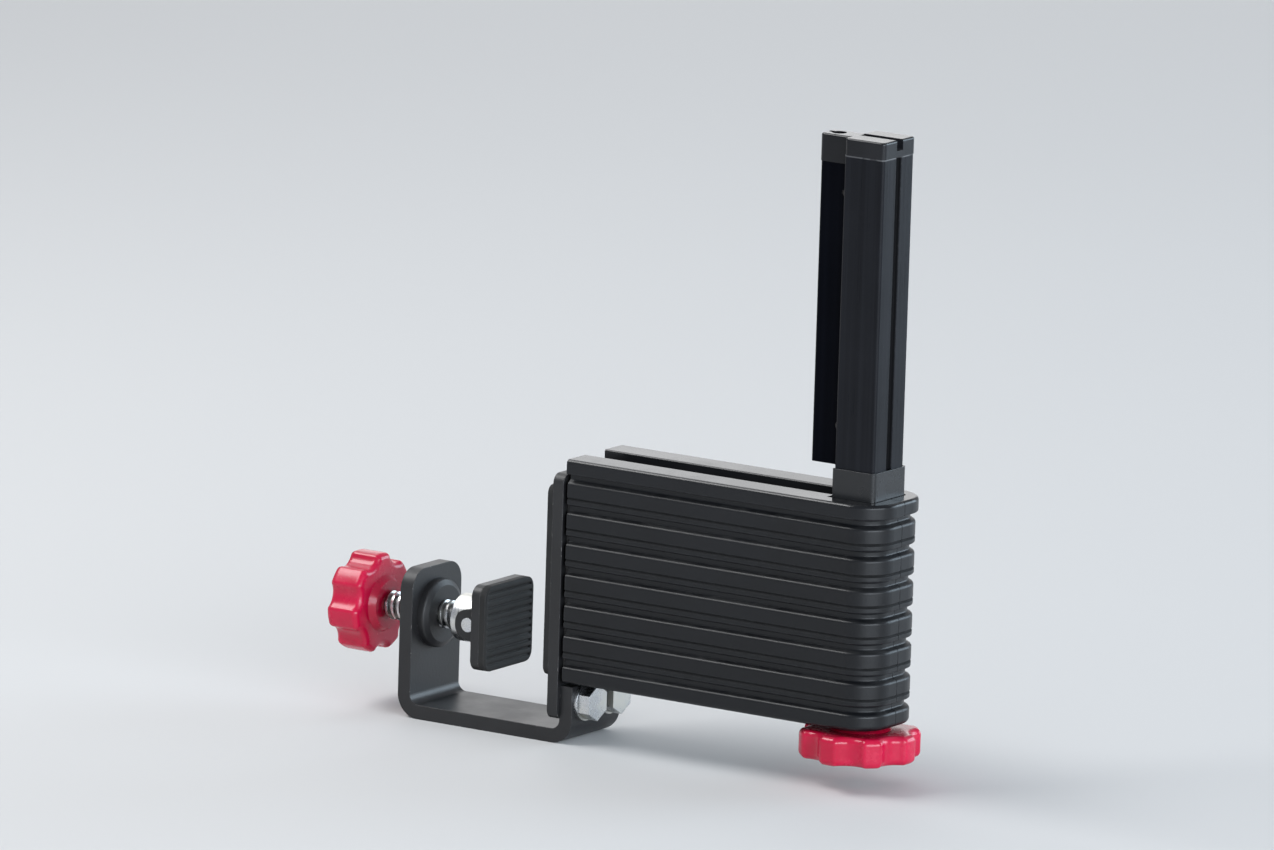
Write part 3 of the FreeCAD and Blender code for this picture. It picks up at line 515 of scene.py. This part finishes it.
# -------------------------------------------------- moulded rubber facings
def rubber_slab(name, x_face, x_back, half_y, z0, z1, corner, height, step=0.36):
    """A slab whose face is a height field; height(y, z) is how far below the face plane a point lies, in mm."""
    ny = int(round(2 * half_y / step))
    nz = int(round((z1 - z0) / step))
    sign = 1.0 if x_back > x_face else -1.0
    verts, faces = [], []

    def half_width(z):
        d = max(0.0, z0 + corner - z, z - (z1 - corner))
        return half_y - corner + math.sqrt(max(0.0, corner * corner - d * d))

    # rows follow the rounded outline
    for j in range(nz + 1):
        z = z0 + (z1 - z0) * j / nz
        w = half_width(z)
        for i in range(ny + 1):
            y = w * (2.0 * i / ny - 1.0)
            edge = min(w - abs(y), z - z0, z1 - z)
            h = height(y, z)
            h = h * smoothstep(1.6, 2.3, edge) + 0.5 * (1 - smoothstep(0.0, 0.7, edge))
            verts.append(((x_face + sign * h) * MM, y * MM, z * MM))
    n = ny + 1
    for j in range(nz):
        for i in range(ny):
            a = j * n + i
            faces.append((a, a + 1, a + n + 1, a + n))
    rim = [i for i in range(n)] + [j * n + ny for j in range(1, nz + 1)] \
        + [nz * n + i for i in range(ny - 1, -1, -1)] + [j * n for j in range(nz - 1, 0, -1)]
    back = []
    for k in rim:
        x, y, z = verts[k]
        back.append(len(verts))
        verts.append((x_back * MM, y, z))
    for k in range(len(rim)):
        l = (k + 1) % len(rim)
        faces.append((rim[k], rim[l], back[l], back[k]))
    faces.append(tuple(back))
    return make_object(name, verts, faces, MAT["rubber"], 50.0)


def diamond(y, z):
    """Crossed moulded grooves 0.7 mm deep on a 5 mm grid."""
    out = 0.0
    for t in (y + z, y - z):
        d = abs((t / 7.07) % 1.0 - 0.5) * 7.07 * 0.7071
        out = max(out, 0.7 * (1 - smoothstep(0.25, 0.75, d)))
    return out


def ribs(y, z):
    """Upright-ribbed jaw facing: grooves 0.7 mm deep on a 3 mm pitch."""
    d = abs(((z + 62.0) / 3.0 + 0.5) % 1.0 - 0.5) * 3.0
    return 0.7 * (1 - smoothstep(0.25, 0.7, d))


pad = rubber_slab("back_pad_moulded", 0.0, 3.0, 20.0, -76.0, 4.0, 4.0, diamond)
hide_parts("back_pad")
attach(pad, "bracket")

facing = rubber_slab("jaw_facing_moulded", -30.0, -33.0, 18.0, -80.0, -44.0, 5.0, ribs)
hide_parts("jaw_facing")
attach(facing, "jaw")


# --------------------------------------------------------------- weld beads
def bead(name, path, radius, pitch, closed):
    """A weld bead: a tube whose radius swells and dips once per ripple. path: (point, right, up) frames in mm."""
    ring = 12
    verts, faces = [], []
    run = 0.0
    last = None
    for p, right, up in path:
        if last is not None:
            run += (Vector(p) - Vector(last)).length
        last = p
        ph = (run / pitch) % 1.0
        r = radius * (0.88 + 0.16 * math.sqrt(max(0.0, 1 - (2 * ph - 1) ** 2)))
        end = 1.0
        for k in range(ring):
            a = 2 * math.pi * k / ring
            v = Vector(p) + (Vector(right) * math.cos(a) + Vector(up) * math.sin(a)) * r * end
            verts.append(tuple(v * MM))
    n = len(path)
    for i in range(n if closed else n - 1):
        j = (i + 1) % n
        for k in range(ring):
            l = (k + 1) % ring
            faces.append((i * ring + k, i * ring + l, j * ring + l, j * ring + k))
    if not closed:
        faces.append(tuple(range(ring)))
        faces.append(tuple((n - 1) * ring + k for k in range(ring)))
    o = make_object(name, verts, faces, MAT["weld"], 60.0)
    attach(o, "bracket")
    return o


frames = []
for i in range(240):
    a = 2 * math.pi * i / 240
    frames.append(((-72.6, 11.2 * math.cos(a), -62.0 + 11.2 * math.sin(a)), (1, 0, 0),
                   (0, math.cos(a), math.sin(a))))
bead("boss_weld", frames, 1.45, 2 * math.pi * 11.2 / 30, True)

for s, tag in ((-1, "front"), (1, "back")):
    pts = [((8.1, s * 15.3, -72.0 + 0.4 * i), (1, 0, 0), (0, 1, 0)) for i in range(191)]
    bead("side_weld_" + tag, pts, 1.25, 2.4, False)


# ------------------------------------------------------------------- stage
floor_z = cad_lo.z
me = bpy.data.meshes.new("studio_floor")
me.from_pydata([(-14, -14, floor_z), (14, -14, floor_z), (14, 14, floor_z), (-14, 14, floor_z)], [], [(0, 1, 2, 3)])
floor = bpy.data.objects.new("studio_floor", me)
bpy.context.scene.collection.objects.link(floor)
m, nt, b, obj = new_material("pale_floor")
nt.links.new(mix_col(nt, noise(nt, obj, 1.2, 3.0, 0.5), (0.635, 0.635, 0.635), (0.660, 0.660, 0.657)), b.inputs["Base Color"])
b.inputs["Roughness"].default_value = 0.75
b.inputs["Specular IOR Level"].default_value = 0.2
floor.data.materials.append(m)

world = bpy.data.worlds.new("studio")
bpy.context.scene.world = world
world.use_nodes = True
wn = world.node_tree
wn.nodes.clear()
w_out = node(wn, "ShaderNodeOutputWorld")
w_dir = node(wn, "ShaderNodeTexCoord").outputs["Generated"]
w_z = node(wn, "ShaderNodeSeparateXYZ", {0: w_dir}).outputs["Z"]
sky = mix_col(wn, ramp(wn, w_z, -0.05, 0.9), (0.94, 0.96, 1.0), (0.62, 0.66, 0.72))
w_bg = node(wn, "ShaderNodeBackground", {"Color": sky, "Strength": 0.52})
wn.links.new(w_bg.outputs[0], w_out.inputs[0])


def softbox(name, loc, aim, size, energy, colour=(1, 1, 1)):
    l = bpy.data.lights.new(name, "AREA")
    l.shape = "RECTANGLE"
    l.size, l.size_y = size
    l.energy = energy
    l.color = colour
    o = bpy.data.objects.new(name, l)
    o.location = loc
    o.rotation_mode = "QUATERNION"
    o.rotation_quaternion = (Vector(aim) - Vector(loc)).to_track_quat("-Z", "Y")
    bpy.context.scene.collection.objects.link(o)


softbox("key_overhead", (-0.95, -0.52, 1.50), (0.05, 0.0, 0.0), (1.35, 0.60), 22.0)
softbox("right_wall", (1.4, 2.0, 0.52), (0.12, 0.0, 0.03), (1.6, 1.2), 30.0, (0.70, 0.86, 1.0))
softbox("right_front", (2.25, -1.05, 0.45), (0.12, 0.0, 0.0), (2.4, 1.1), 62.0, (0.84, 0.92, 1.0))
softbox("back_left", (-1.35, 2.10, 0.60), (0.05, 0.0, 0.03), (1.4, 1.0), 4.9)
softbox("back_top", (-1.02, 0.90, 1.40), (0.05, 0.0, 0.0), (1.2, 0.7), 4.5)

# ------------------------------------------------------------------ camera
AZ, EL, DIST, ROLL = math.radians(33.2), math.radians(11.25), 6.236, math.radians(1.75)
centre = Vector((0.0300, 0.0, 0.0300))
back = Vector((math.sin(AZ) * math.cos(EL), -math.cos(AZ) * math.cos(EL), math.sin(EL)))
cam_data = bpy.data.cameras.new("camera")
cam_data.sensor_width = 36.0
cam_data.lens = 430.0
cam_data.clip_start, cam_data.clip_end = 0.1, 60.0
cam = bpy.data.objects.new("camera", cam_data)
cam.location = centre + back * DIST
cam.rotation_mode = "QUATERNION"
cam.rotation_quaternion = (-back).to_track_quat("-Z", "Y") @ Matrix.Rotation(ROLL, 3, "Z").to_quaternion()
bpy.context.scene.collection.objects.link(cam)
bpy.context.scene.camera = cam
bpy.context.scene.view_settings.view_transform = "Standard"
bpy.context.scene.view_settings.look = "None"
